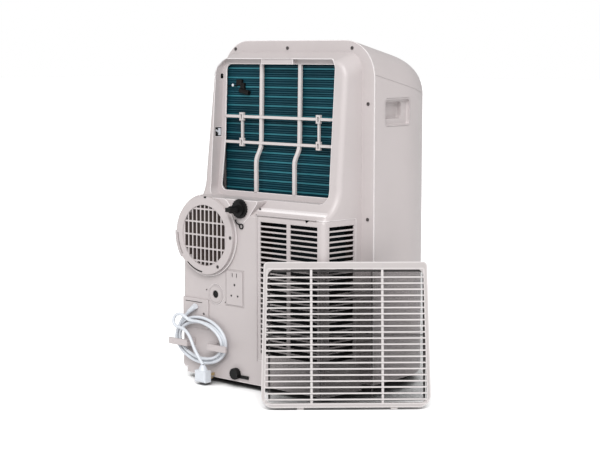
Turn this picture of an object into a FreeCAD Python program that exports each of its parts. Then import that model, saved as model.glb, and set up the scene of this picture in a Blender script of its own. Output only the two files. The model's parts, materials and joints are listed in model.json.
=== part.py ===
import FreeCAD, Part
import math
import os
import re
import Sketcher

# Portable air conditioner, standing on four casters, with its upper filter grille taken off
# and leaned against the back.  Millimetres.  X is across the cabinet (the exhaust outlet is on
# +X), Y runs from the front (-) to the back (+), Z is up, and the origin is on the floor midway
# between the casters of the two sides, 92 mm in front of the flange of the rear shell.

V = FreeCAD.Vector
ORIGIN = V(0, 0, 0)
X_AXIS = V(1, 0, 0)
Y_AXIS = V(0, 1, 0)
Z_AXIS = V(0, 0, 1)
REACH = 900

# ---------------------------------------------------------------- driving dimensions

DIMENSIONS = {
    # cabinet
    "cabinet_left": 204, "cabinet_right": 224, "cabinet_height": 747, "cabinet_bottom": 28,
    "front_reach": 195,
    "flange_y": 92, "flange_thick": 3, "front_corner": 180, "top_slope": 12.5, "top_round": 76,
    "wall": 2.6, "seam_drop": 71, "gap": 0.3,
    # rear shell: hump around the coil window, box below it
    "hump_left": 209, "hump_lean": 0.057, "hump_draft": 4, "hump_corner": 36, "hump_right": 193,
    "hump_top": 722, "rim_top": 703, "rim_low": 450, "rim_top_out": 44, "rim_low_out": 62,
    "box_out": 105, "box_left": 226.5, "box_lean": 0.0276, "box_bottom": 12, "flange_land": 6,
    "box_corner": 20, "box_top": 374, "side_draft": 8, "shell_round": 11,
    # coil window
    "window_x": 14, "window_width": 318, "window_low": 420, "window_high": 696,
    "window_out_top": 20, "window_out_low": 46, "window_out_bend": 28, "recess_margin": 11, "guard_bar": 8,
    "guard_spacing": 110, "guard_rail_high": 582, "guard_rail_low": 526,
    # lower intake grille
    "intake_left": 6, "intake_low": 68, "intake_high": 378, "slot_pitch": 11, "slot_height": 7.6,
    "slot_rows": 26, "intake_front": 108,
    # exhaust outlet
    "exhaust_x": 153, "exhaust_z": 325.5, "exhaust_bore": 69.5, "exhaust_ring": 85.5,
    "exhaust_boss": 90, "boss_out": 5, "boss_corner": 34, "boss_side": 75, "ring_out": 12,
    "sleeve_radius": 66.5, "guard_pitch_x": 12.4, "guard_pitch_z": 28.6, "guard_rib": 3.7,
    "guard_deep": 10,
    # small rear fittings
    "cap_x": 53.7, "cap_z": 390, "cap_radius": 21, "cap_out": 106, "cap_thick": 6,
    "cap_hub": 8, "cap_tip": 40, "seat_corner": 9, "lug_x": 68, "lug_z": 30,
    "port_x": 130, "port_z": 197, "port_radius": 22, "port_bore": 8.5,
    "socket_x": 73, "socket_z": 216, "socket_width": 48, "socket_height": 74,
    "cover_x": 190, "cover_z": 149, "cover_width": 78, "cover_height": 66,
    "hook_z": 84, "hook_left_x": 200, "hook_right_x": 125,
    # cord
    "cord_radius": 3.5,
    # filter grille, measured flat
    "grille_width_top": 333, "grille_width_low": 346, "grille_height": 296, "grille_depth": 12,
    "grille_pitch": 12.4, "grille_bar": 3, "grille_rows": 21, "grille_lean": 8, "grille_yaw": 42.4,
    "grille_x": -236, "grille_y": 196, "grille_foot": 4,
    # controls and air outlet on the sloping top, measured down the slope from the flange
    "middle_x": -10, "outlet_near": 132, "outlet_far": 192, "outlet_width": 236,
    "panel_near": 44, "panel_far": 96, "panel_width": 210, "button_radius": 8, "button_first": 45,
    "button_pitch": 23,
    # casters
    "caster_x": 150, "caster_front": -85, "caster_back": 166, "wheel_radius": 14,
    "wheel_width": 9, "axle_radius": 2.5, "running_gap": 0.05, "caster_trail": 9,
    # inside
    "deck_z": 400, "fan_x": -10, "blower_y": -60, "blower_z": 545, "blower_radius": 88,
    "exhaust_wheel_y": 60, "exhaust_wheel_radius": 72,
}

doc = FreeCAD.newDocument("portable_air_conditioner")
sheet = doc.addObject("Spreadsheet::Sheet", "dims")
for row, (word, value) in enumerate(DIMENSIONS.items(), start=1):
    sheet.set("A%d" % row, word)
    sheet.set("B%d" % row, str(value))
    sheet.setAlias("B%d" % row, word)
doc.recompute()


class Size:
    """Reads the sheet's cells as attributes: size.wall is the wall thickness in millimetres."""

    def __getattr__(self, word):
        return float(getattr(sheet, word))


size = Size()
ALIAS = re.compile(r"\b(" + "|".join(sorted(DIMENSIONS, key=len, reverse=True)) + r")\b")
sub_parts = []


def sheet_formula(formula):
    return ALIAS.sub(r"dims.\1", str(formula))


def bind(thing, **formulas):
    """Binds properties to formulas of the sheet; base_x, base_y and base_z are the placement's."""
    for word, formula in formulas.items():
        prop = word
        if word.startswith("base_"):
            prop = "Placement.Base." + word[-1]
        thing.setExpression(prop, sheet_formula(formula))
    return thing


def place(thing, corner, axis=None, angle=0):
    if axis is not None:
        thing.Placement = FreeCAD.Placement(ORIGIN, FreeCAD.Rotation(axis, angle))
    return bind(thing, base_x=corner[0], base_y=corner[1], base_z=corner[2])


def box(corner, sizes, axis=None, angle=0):
    thing = doc.addObject("Part::Box", "box")
    bind(thing, Length=sizes[0], Width=sizes[1], Height=sizes[2])
    return place(thing, corner, axis, angle)


def middle_box(middle, sizes):
    """A box given by its middle in X and Y and its low Z."""
    corner = ("(%s)-(%s)/2" % (middle[0], sizes[0]), "(%s)-(%s)/2" % (middle[1], sizes[1]), middle[2])
    return box(corner, sizes)


TURNS = {"x": (Y_AXIS, 90), "y": (X_AXIS, -90), "z": (None, 0)}


def cylinder(foot, radius, height, along="z"):
    thing = doc.addObject("Part::Cylinder", "cylinder")
    bind(thing, Radius=radius, Height=height)
    return place(thing, foot, *TURNS[along])


def cone(foot, radius_low, radius_high, height, along="z"):
    thing = doc.addObject("Part::Cone", "cone")
    bind(thing, Radius1=radius_low, Radius2=radius_high, Height=height)
    return place(thing, foot, *TURNS[along])


def torus(middle, ring, section, along="z"):
    thing = doc.addObject("Part::Torus", "torus")
    bind(thing, Radius1=ring, Radius2=section)
    return place(thing, middle, *TURNS[along])


def fuse(*things):
    whole = doc.addObject("Part::MultiFuse", "joined")
    whole.Shapes = list(things)
    return whole


def loose(*things):
    """One or more solids kept together, unjoined, as one object with a placement of its own."""
    whole = doc.addObject("Part::Compound", "group")
    whole.Links = list(things)
    return whole


def cut(base, *tools):
    whole = doc.addObject("Part::Cut", "cut")
    whole.Base = base
    whole.Tool = tools[0] if len(tools) == 1 else loose(*tools)
    return whole


def common(first, second):
    whole = doc.addObject("Part::MultiCommon", "common")
    whole.Shapes = [first, second]
    return whole


def round_edges(base, radius, wanted):
    """Fillets those edges of a base that wanted(edge) picks."""
    doc.recompute()
    thing = doc.addObject("Part::Fillet", "rounded")
    thing.Base = base
    picked = [n for n, edge in enumerate(base.Shape.Edges, start=1) if wanted(edge)]
    thing.Edges = [(n, radius, radius) for n in picked]
    return thing


def runs_along(edge, axis):
    if edge.Curve.TypeId != "Part::GeomLine":
        return False
    ends = [v.Point for v in edge.Vertexes]
    return abs(abs((ends[1] - ends[0]).normalize().dot(axis)) - 1) < 1e-6


def shaped(shape):
    """A document object for a form made with Part's own functions."""
    thing = doc.addObject("Part::Feature", "form")
    thing.Shape = shape
    return thing


def sub_part(label, thing):
    thing.Label = label
    sub_parts.append(thing)
    return thing


def origin_plane(body, role):
    return [o for o in body.Origin.OriginFeatures if o.Role == role][0]


def outline_sketch(body, role, corners, offset=0):
    """A closed polygon on an origin plane, each corner's two coordinates bound to the sheet."""
    sketch = body.newObject("Sketcher::SketchObject", "outline")
    sketch.AttachmentSupport = [(origin_plane(body, role), "")]
    sketch.MapMode = "FlatFace"
    bind(sketch, **{"AttachmentOffset.Base.z": offset})
    count = len(corners)
    for n in range(count):
        sketch.addGeometry(Part.LineSegment(V(n, 0, 0), V(n + 1, 1, 0)), False)
    for n in range(count):
        sketch.addConstraint(Sketcher.Constraint("Coincident", n, 2, (n + 1) % count, 1))
    for n, corner in enumerate(corners):
        for kind, formula in zip(("DistanceX", "DistanceY"), corner):
            index = sketch.addConstraint(Sketcher.Constraint(kind, -1, 1, n, 1, 0.0))
            sketch.setExpression("Constraints[%d]" % index, sheet_formula(formula))
    return sketch


def padded_body(role, corners, length, offset=0):
    """A body made by padding one polygon.  Pads run along the plane's normal."""
    body = doc.addObject("PartDesign::Body", "body")
    sketch = outline_sketch(body, role, corners, offset)
    pad = body.newObject("PartDesign::Pad", "pad")
    pad.Profile = sketch
    bind(pad, Length=length)
    return body


# ---------------------------------------------------------------- cabinet

def plan_face(inset, z, back):
    """The D-shaped plan: straight back, straight sides, round front corners."""
    low = -size.cabinet_right + inset
    high = size.cabinet_left - inset
    front = -size.front_reach + inset
    radius = size.front_corner - inset
    bend = radius * (1 - math.sqrt(0.5))
    points = [V(low, back, z), V(low, front + radius, z), V(low + radius, front, z),
              V(high - radius, front, z), V(high, front + radius, z), V(high, back, z)]
    left_bend = V(low + bend, front + bend, z)
    right_bend = V(high - bend, front + bend, z)
    edges = [Part.makeLine(points[0], points[1]),
             Part.Arc(points[1], left_bend, points[2]).toShape(),
             Part.makeLine(points[2], points[3]),
             Part.Arc(points[3], right_bend, points[4]).toShape(),
             Part.makeLine(points[4], points[5]),
             Part.makeLine(points[5], points[0])]
    return Part.Face(Part.Wire(edges))


def above_slope(drop, reach=900):
    """Everything above a plane parallel to the sloping top, `drop` below its back edge."""
    block = Part.makeBox(reach, reach, reach, V(-reach / 2, -reach / 2, 0))
    block.rotate(ORIGIN, X_AXIS, size.top_slope)
    block.translate(V(0, size.flange_y, size.cabinet_height - drop))
    return block


def cabinet_form(inset):
    """The cabinet without its rear shell, or the form that lies `inset` inside it."""
    back = size.flange_y + (0 if inset == 0 else 20)
    form = plan_face(inset, 0, back).extrude(V(0, 0, size.cabinet_height + 60))
    form = form.cut(above_slope(inset))
    rim = []
    for edge in form.Edges:
        high = min(v.Point.z for v in edge.Vertexes) > 400
        at_back = all(abs(v.Point.y - back) < 1e-3 for v in edge.Vertexes)
        if high and not at_back:
            rim.append(edge)
    form = form.makeFillet(size.top_round - inset, rim)
    floor = size.cabinet_bottom if inset == 0 else 0
    return form.cut(Part.makeBox(900, 900, floor + 1, V(-450, -450, -1)))


def rounded_prism(width, height, radius, depth, middle, along):
    """A rounded rectangle, extruded: along X its sides lie on Y and Z, along Y on X and Z."""
    across = {"x": Y_AXIS, "y": X_AXIS}[along]
    through = {"x": X_AXIS, "y": Y_AXIS}[along]
    block = Part.makeBox(*[depth if abs(through.dot(a)) else (height if a is Z_AXIS else width)
                           for a in (X_AXIS, Y_AXIS, Z_AXIS)])
    corner = middle - across * (width / 2) - Z_AXIS * (height / 2)
    block.translate(corner)
    edges = [e for e in block.Edges if runs_along(e, through)]
    return block.makeFillet(radius, edges)


HINGE_DOWN = 2.4
GRIP = {"y": 12.5, "z": 597.5, "width": 89, "height": 59, "round": 10, "rim": 3, "set_in": 0.6}
GRIP_DISH = 8
FLOOR_ROUND = 4
GRIP_POCKET = {"y": 19, "z": 601.5, "width": 56, "height": 35, "round": 7, "deep": 20}


def casing_shells():
    outer = cabinet_form(0)
    shell = outer.cut(cabinet_form(size.wall))
    behind = size.flange_y - size.flange_thick - size.gap
    shell = shell.cut(Part.makeBox(REACH, 100, REACH, V(-REACH / 2, behind, 0)))
    for side in (-1, 1):
        start = V(min(0, side * 300), GRIP["y"], GRIP["z"])
        shell = shell.cut(rounded_prism(GRIP["width"], GRIP["height"], GRIP["round"], 300, start, "x"))
    above_seam = above_slope(size.seam_drop)
    cover = shell.common(above_seam)
    cover = cover.cut(slope_block(0, size.outlet_near, size.outlet_far, size.outlet_width, -20, 40))
    cover = cover.cut(slope_block(0, size.panel_near, size.panel_far, size.panel_width, -20, 40))
    hinge = Part.makeCylinder(0.7 + size.running_gap, size.outlet_width + 7,
                              V(-size.outlet_width / 2 - 3.5, -size.outlet_near - HINGE_DOWN, -1.6), X_AXIS)
    hinge.rotate(ORIGIN, X_AXIS, size.top_slope)
    hinge.translate(V(size.middle_x, size.flange_y, size.cabinet_height))
    cover = cover.cut(hinge)
    front = shell.cut(above_slope(size.seam_drop + size.gap))
    sub_part("top_cover", shaped(cover))
    sub_part("front_shell", shaped(front))


def slope_block(x, near, far, width, low, high):
    """A block on the sloping top: near and far are distances down the slope, low and high above it."""
    block = Part.makeBox(width, far - near, high - low, V(x - width / 2, -far, low))
    block.rotate(ORIGIN, X_AXIS, size.top_slope)
    block.translate(V(size.middle_x, size.flange_y, size.cabinet_height))
    return block


# ---------------------------------------------------------------- rear shell

FORM_OVERLAP = 12


def rear_profile(inset):
    """Side outline of the hump, the flare and the box, as a face at X = 0."""
    flange = size.flange_y
    back = flange + size.box_out - inset
    start = V(0, flange - FORM_OVERLAP, size.hump_top - inset)
    root = V(0, flange, size.hump_top - inset)
    rim = V(0, flange + size.rim_top_out - inset, size.rim_top - inset)
    low = V(0, flange + size.rim_low_out - inset, size.rim_low)
    bend = V(0, flange + size.rim_low_out + 10 - inset, size.rim_low - 40)
    flare = V(0, back - 8, size.box_top + 12)
    top = V(0, back, size.box_top)
    floor = size.box_bottom if inset == 0 else 0
    foot = V(0, back, floor)
    heel = V(0, flange - FORM_OVERLAP, floor)
    edges = [Part.makeLine(start, root), Part.makeLine(root, rim), Part.makeLine(rim, low),
             Part.Arc(low, bend, flare).toShape(), Part.makeLine(flare, top),
             Part.makeLine(top, foot), Part.makeLine(foot, heel), Part.makeLine(heel, start)]
    return Part.Face(Part.Wire(edges))


def side_wall(root, lean, draft, inset):
    """Everything inside a side wall of the rear form, on the +X side: the wall stands `root` from
    the middle at the low end of the rim, leans inward by `lean` per millimetre of height and
    narrows towards the back by its moulding draft."""
    low = V(root - inset + lean * size.rim_low, 0, 0)
    high = V(root - inset - lean * (REACH - size.rim_low), 0, REACH)
    points = [V(-REACH, 0, 0), low, high, V(-REACH, 0, REACH)]
    wall = Part.Face(Part.makePolygon(points + points[:1])).extrude(V(0, REACH, 0))
    wall.rotate(V(root, 0, 0), Z_AXIS, draft)
    wall.translate(V(0, size.flange_y - FORM_OVERLAP, 0))
    return wall


def rear_form(inset):
    """Hump and box behind the flange, or the form that lies `inset` inside them."""
    profile = rear_profile(inset)
    profile.translate(V(-REACH / 2, 0, 0))
    length = profile.extrude(V(REACH, 0, 0))
    right = side_wall(size.hump_right, 0, size.side_draft, inset).mirror(ORIGIN, X_AXIS)
    length = length.common(right)
    hump = length.common(side_wall(size.hump_left, size.hump_lean, size.hump_draft, inset))
    hump = hump.makeFillet(size.hump_corner - inset, [e for e in hump.Edges if top_corner(e)])
    hump = hump.makeFillet(size.shell_round - inset, [e for e in hump.Edges if crosses_back_corner(e)])
    lower = length.common(side_wall(size.box_left, size.box_lean, 0, inset))
    lower = lower.common(Part.makeBox(REACH, REACH, size.exhaust_z, V(-REACH / 2, 0, 0)))
    lower = lower.makeFillet(size.shell_round - inset, [e for e in lower.Edges if crosses_back_corner(e)])
    if inset == 0:
        foot = [e for e in lower.Edges if runs_along(e, Y_AXIS) and low_left(e)]
        lower = lower.makeFillet(size.box_corner, foot)
    root = size.flange_y - FORM_OVERLAP
    boss_depth = size.box_out + size.boss_out + FORM_OVERLAP - inset
    radius = size.exhaust_boss - inset
    boss = Part.makeCylinder(radius, boss_depth, V(size.exhaust_x, root, size.exhaust_z), Y_AXIS)
    shoulder_x = size.exhaust_x - size.boss_side + inset
    shoulder = Part.makeBox(radius, boss_depth, radius - 3, V(shoulder_x, root, size.exhaust_z))
    corner = [e for e in shoulder.Edges if runs_along(e, Y_AXIS) and upper_right(e)]
    shoulder = shoulder.makeFillet(size.boss_corner, corner)
    return hump.fuse([lower, boss, shoulder, cap_seat(inset)]).removeSplitter()


# Outline of the raised seat that joins the exhaust fairing to the drain cap: X and Z.
SEAT_OUTLINE = [(104, 411), (46, 432), (8, 418), (6, 404), (30, 374), (46, 358), (80, 358)]


def cap_seat(inset):
    corners = [V(x, size.flange_y - FORM_OVERLAP, z) for x, z in SEAT_OUTLINE]
    outline = Part.Face(Part.makePolygon(corners + corners[:1]))
    deep = V(0, size.cap_out + FORM_OVERLAP, 0)
    seat = outline.extrude(deep)
    seat = seat.makeFillet(size.seat_corner, [e for e in seat.Edges if runs_along(e, Y_AXIS)])
    if inset == 0:
        return seat
    thinner = V(0, -inset, 0)
    for way in (V(inset, 0, 0), V(-inset, 0, 0), V(0, 0, inset), V(0, 0, -inset)):
        moved = seat.copy()
        moved.translate(thinner + way)
        seat = seat.common(moved)
        thinner = ORIGIN
    return seat


def top_corner(edge):
    """True for the two edges between the hump's sloping top and its side walls."""
    ends = [v.Point for v in edge.Vertexes]
    high = min(p.z for p in ends) > size.window_high
    beside = all(abs(p.x) > 150 for p in ends) and abs(ends[0].x - ends[-1].x) < 20
    return high and beside and abs(ends[0].y - ends[-1].y) > 20


def upper_right(edge):
    middle = edge.BoundBox.Center
    return middle.x < size.exhaust_x - 50 and middle.z > size.exhaust_z + 50


def crosses_back_corner(edge):
    """True for the edges between a side wall and the back, all the way down."""
    ends = [v.Point for v in edge.Vertexes]
    rises = abs(ends[0].z - ends[-1].z) > 6
    outside = min(p.y for p in ends) > size.flange_y + 8
    beside = abs(ends[0].x) > 150 and abs(ends[-1].x) > 150
    return rises and outside and beside


def low_left(edge):
    middle = edge.BoundBox.Center
    return middle.x > 200 and middle.z < size.box_bottom + 5


def recess_form(grow):
    """The tray that the filter grille drops into, from the window's plane outward."""
    width = size.window_width + 2 * size.recess_margin + 2 * grow
    low = size.window_low - size.recess_margin - grow
    high = size.window_high + size.recess_margin + grow
    middle = V(size.window_x, size.flange_y - 20, (low + high) / 2)
    prism = rounded_prism(width, high - low, 20, 200, middle, "y")
    top = size.flange_y + size.window_out_top - grow
    foot = size.flange_y + size.window_out_low - grow
    bend = size.flange_y + size.window_out_bend - grow
    points = [V(-300, top, high + 30), V(-300, bend, size.guard_rail_low), V(-300, foot, low - 30),
              V(-300, 400, low - 30), V(-300, 400, high + 30)]
    wedge = Part.Face(Part.makePolygon(points + points[:1])).extrude(V(600, 0, 0))
    return prism.common(wedge)


def intake_region(grow):
    """The part of the lower box's back and right wall that the intake grille stands in for."""
    reach = size.hump_right + 40
    depth = size.flange_y + size.box_out + 40 - size.intake_front
    height = size.intake_high - size.intake_low + 2 * grow
    corner = V(-reach, size.intake_front - grow, size.intake_low - grow)
    return Part.makeBox(reach + size.intake_left + grow, depth + grow, height, corner)


CASE_SCREWS = [(166, 729), (13, 730.5), (-165, 730.5), (-208, 616), (-208, 377), (-208, 140)]
RING_SCREWS = [(75, 326), (113, 260)]
SCREW_HOLE = 2.2
SCREW_HEAD = 3.6
SCREW_HEAD_HIGH = 1.4
SCREW_LONG = 10


def rear_shell():
    outer = rear_form(0)
    hollow = rear_form(size.wall)
    slab = Part.makeBox(REACH, size.flange_thick, REACH,
                        V(-REACH / 2, size.flange_y - size.flange_thick, 0))
    opening = hollow.common(cabinet_form(size.flange_land))
    flange = slab.common(cabinet_form(0).fuse(outer)).cut(opening)
    recess = recess_form(0)
    walls = outer.cut(hollow.cut(recess_form(size.wall)))
    walls = walls.cut(Part.makeBox(900, 50, 900, V(-450, size.flange_y - 50 - 2, 0)))
    spout = Part.makeCylinder(11.7, 28, V(size.cap_x, size.flange_y + size.cap_out - 20, size.cap_z), Y_AXIS)
    shell = flange.fuse(walls).cut(recess).fuse([spout] + recess_stops())
    window = rounded_prism(size.window_width, size.window_high - size.window_low, 14, 120,
                           V(size.window_x, size.flange_y - 10,
                             (size.window_low + size.window_high) / 2), "y")
    tools = [window, intake_region(size.gap)]
    rear = size.flange_y + 30
    for x, z, radius in ((size.exhaust_x, size.exhaust_z, size.exhaust_bore),
                         (size.port_x, size.port_z, size.port_radius + size.gap),
                         (size.cap_x, size.cap_z, 9)):
        tools.append(Part.makeCylinder(radius, 120, V(x, rear, z), Y_AXIS))
    for x, z in CASE_SCREWS:
        tools.append(Part.makeCylinder(SCREW_HOLE, 20, V(x, size.flange_y - 10, z), Y_AXIS))
    for x, z in RING_SCREWS:
        face = size.flange_y + size.box_out
        tools.append(Part.makeCylinder(SCREW_HOLE, 20, V(x, face - 10, z), Y_AXIS))
    tools.append(Part.makeCylinder(6.3, 60, V(size.lug_x, rear + 40, size.lug_z), Y_AXIS))
    tools += recess_catches()
    sub_part("rear_shell", shaped(shell.cut(tools).removeSplitter()))


def recess_wall():
    return size.window_x + size.window_width / 2 + size.recess_margin


def recess_catches():
    """Openings in the recess's +X wall: an upper slot, a square latch hole and a low notch."""
    face = recess_wall()
    return [Part.makeBox(size.wall + 2, wide, high, V(face - 1, y, z))
            for y, wide, z, high in ((112, 10, 664, 11), (119, 21, 537, 20), (112, 14, 419, 29))]


def recess_stops():
    """The lip that holds the grille's top edge, and the ledge its low corner stands on."""
    lip = Part.makeBox(90, 13, 16, V(-30, size.flange_y + size.window_out_top, 692))
    ledge_x = 2 * size.window_x - recess_wall() - 1
    ledge = Part.makeBox(17, 16, 38, V(ledge_x, size.flange_y + 26, 408))
    return [lip, ledge]


def lower_intake_grille():
    skin = rear_form(0).cut(rear_form(size.wall)).common(intake_region(0))
    slots = []
    groups = [(-76, -2), (-160, -86)]
    for n in range(int(size.slot_rows)):
        z = size.intake_high - 12 - size.slot_height - n * size.slot_pitch
        for low, high in groups:
            slots.append(Part.makeBox(high - low, 60, size.slot_height, V(low, size.flange_y + 75, z)))
        slots.append(Part.makeBox(60, 68, size.slot_height, V(-215, size.intake_front + 5, z)))
    notch = Part.makeBox(9, 60, 9, V(-4.5, 0, -4.5))
    notch.rotate(ORIGIN, Y_AXIS, 45)
    notch.translate(V(-130, size.flange_y + 75, size.intake_high))
    sub_part("lower_intake_grille", shaped(skin.cut(slots + [notch])))


# ---------------------------------------------------------------- coil window

def coil_guard():
    """Bars across the coil window; the two long bars step outward below the lower rail."""
    near = "flange_y+window_out_top"
    step = [(6, 0), (7.5, 8), (12, 17), (18, 26), (21.5, 34), (22.5, 43)]
    outside = [(near + "+%g" % out, "guard_rail_low-%g" % down) for out, down in step]
    inside = [(near + "+%g" % (out - 6), "guard_rail_low-%g" % (down + 2)) for out, down in step]
    side_view = [(near + "-3", "window_high"), (near + "+3", "window_high")] + outside
    side_view += [(near + "+22.5", "window_low"), (near + "+16.5", "window_low")] + inside[::-1]
    bars = []
    for side in (-1, 1):
        middle = "window_x+(%d)*guard_spacing/2" % side
        bars.append(padded_body("YZ_Plane", side_view, "guard_bar", middle + "-guard_bar/2"))
    rail_depth = 6
    for level in ("guard_rail_high", "guard_rail_low"):
        bars.append(box(("window_x-window_width/2", near + "+1", level + "-3"),
                        ("window_width", rail_depth, 6)))
    slots = []
    for side in (-1, 1):
        clip_x = "window_x+(%d)*guard_spacing" % side
        bars.append(middle_box((clip_x, near + "+4", "guard_rail_low"),
                               (5, 5, "guard_rail_high-guard_rail_low")))
        for level in ("guard_rail_high", "guard_rail_low"):
            bars.append(middle_box((clip_x, near + "+5", level + "-9"), (11, 7, 18)))
            slots.append(middle_box((clip_x, near + "+5", level + "-6"), (4, 20, 11)))
    sub_part("coil_guard", cut(fuse(*bars), *slots))


COIL = {"left": 183, "right": -155, "low": 404, "high": 698, "front": 62, "back": 105}


def finned_coil(label, low_corner, sizes, tube_rows, tube_inset):
    """Fin pack with its end plates and the rows of tubes that stick out of them."""
    x, y, z = low_corner
    wide, deep, tall = sizes
    pieces = [box((x, y, z), sizes)]
    for end in (x - 1.5, x + wide):
        pieces.append(box((end, y - 1, z - 2), (1.5, deep + 2, tall + 4)))
    pitch = tall / tube_rows
    for n in range(tube_rows):
        level = z + pitch * (n + 0.5)
        pieces.append(cylinder((x - tube_inset, y + deep / 2, level), 4, wide + 2 * tube_inset, "x"))
    sub_part(label, fuse(*pieces))


def evaporator():
    corner = (COIL["right"], COIL["front"], COIL["low"])
    sizes = (COIL["left"] - COIL["right"], COIL["back"] - COIL["front"], COIL["high"] - COIL["low"])
    finned_coil("evaporator_coil", corner, sizes, 14, 9)
    clip_x = 128
    clip_z = 652
    clip = middle_box((clip_x, COIL["back"] + 2.5, clip_z), (22, 5, 12))
    bulb = cylinder((clip_x - 4, COIL["back"] + 5.5, clip_z + 4), 3.2, 34, "x")
    sub_part("coil_sensor", fuse(clip, bulb))


# ---------------------------------------------------------------- rear fittings

def exhaust_outlet():
    face = "flange_y+box_out"
    sleeve_start = "flange_y+box_out-9"
    ring = cylinder(("exhaust_x", face + "+boss_out", "exhaust_z"), "exhaust_ring", "ring_out-boss_out", "y")
    sleeve = cylinder(("exhaust_x", sleeve_start, "exhaust_z"), "exhaust_bore-gap", "ring_out+9", "y")
    bore = cylinder(("exhaust_x", sleeve_start + "-1", "exhaust_z"), "sleeve_radius", "ring_out+20", "y")
    notch = middle_box(("exhaust_x-3", face + "+ring_out", "exhaust_z+exhaust_ring-4"), (8, 14, 10))
    tools = [bore, notch]
    for start, end in BAYONET_ARCS:
        tools.append(shaped(ring_sector(BAYONET_SLOT, start, end, size.box_out + 7, 20)))
    for x, z in RING_SCREWS:
        tools.append(cylinder((x, face + "+ring_out-%g" % SCREW_HEAD_HIGH, z), SCREW_HEAD + 0.3, 20, "y"))
        tools.append(cylinder((x, face + "+ring_out-20", z), SCREW_HOLE, 20, "y"))
    sub_part("exhaust_collar", cut(fuse(ring, sleeve), *tools))
    disc = cylinder(("exhaust_x", face, "exhaust_z"), "sleeve_radius", "guard_deep", "y")
    slots = []
    for column in range(10):
        for row in range(-3, 3):
            at = ("exhaust_x+%g*guard_pitch_x" % (column - 4.5), face,
                  "exhaust_z+(%d)*guard_pitch_z+guard_rib/2" % row)
            slots.append(middle_box(at, ("guard_pitch_x-guard_rib", 60, "guard_pitch_z-guard_rib")))
    sub_part("exhaust_guard", cut(disc, *slots))


BAYONET_ARCS = [(-34, 0), (-85, -50)]
BAYONET_SLOT = (79.5, 83)


def ring_sector(radii, start, end, out, deep):
    """Part of a ring around the exhaust, between two angles counted from +X towards +Z."""
    middle = V(size.exhaust_x, size.flange_y + out, size.exhaust_z)
    ring = Part.makeCylinder(radii[1], deep, middle, Y_AXIS)
    ring = ring.cut(Part.makeCylinder(radii[0], deep, middle, Y_AXIS))
    corners = [middle]
    for angle in (start, (start + end) / 2, end):
        turn = math.radians(angle)
        corners.append(middle + V(math.cos(turn), 0, math.sin(turn)) * 2 * radii[1])
    wedge = Part.Face(Part.makePolygon(corners + corners[:1])).extrude(V(0, deep, 0))
    return ring.common(wedge)


def ribbed_disc(foot, radius, thick, ribs, along="y"):
    """Moulded cap with finger ribs around its rim."""
    pieces = [cylinder(foot, radius + "-1.2", thick, along)]
    for n in range(ribs):
        angle = 2 * math.pi * n / ribs
        at = ("(%s)+(%s-1.6)*%.6f" % (foot[0], radius, math.cos(angle)), foot[1],
              "(%s)+(%s-1.6)*%.6f" % (foot[2], radius, math.sin(angle)))
        pieces.append(cylinder(at, 1.6, thick, along))
    return pieces


def drains():
    seat = "flange_y+cap_out"
    wing = middle_box(("cap_x", seat + "+cap_tip-9", "cap_z-4.5"), (15, 18, 9))
    cap = fuse(*ribbed_disc(("cap_x", seat + "+0.4", "cap_z"), "cap_radius", "cap_thick", 22),
               cylinder(("cap_x", seat + "+0.4", "cap_z"), "cap_radius-5.5", "cap_thick+5", "y"),
               cylinder(("cap_x", seat + "+cap_thick", "cap_z"), "cap_hub", "cap_tip-cap_thick-8", "y"), wing)
    sub_part("drain_cap", cut(cap, cylinder(("cap_x", seat, "cap_z"), 12, 9.4, "y")))
    anchor_z = "cap_z-38"
    anchor = torus(("cap_x-2", "flange_y+box_out+1.6", anchor_z), 5, 1.4, "y")
    stem = [V(size.cap_x + 12, size.flange_y + size.cap_out + 4, size.cap_z - 24),
            V(size.cap_x + 10, size.flange_y + size.cap_out + 4, size.cap_z - 30),
            V(size.cap_x + 3, size.flange_y + size.box_out + 2.2, size.cap_z - 35)]
    tether = shaped(round_tube(stem, 1.6))
    sub_part("cap_tether", fuse(anchor, tether))
    face = "flange_y+box_out"
    head = fuse(*ribbed_disc(("lug_x", face + "+0.4", "lug_z"), "12.5", 11, 14))
    plug = cylinder(("lug_x", face + "-14", "lug_z"), 6, 16, "y")
    strap = box(("lug_x-36", face + "+1", "lug_z-9"), (30, 2.5, 7))
    sub_part("lower_drain_plug", fuse(head, plug, strap))


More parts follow.
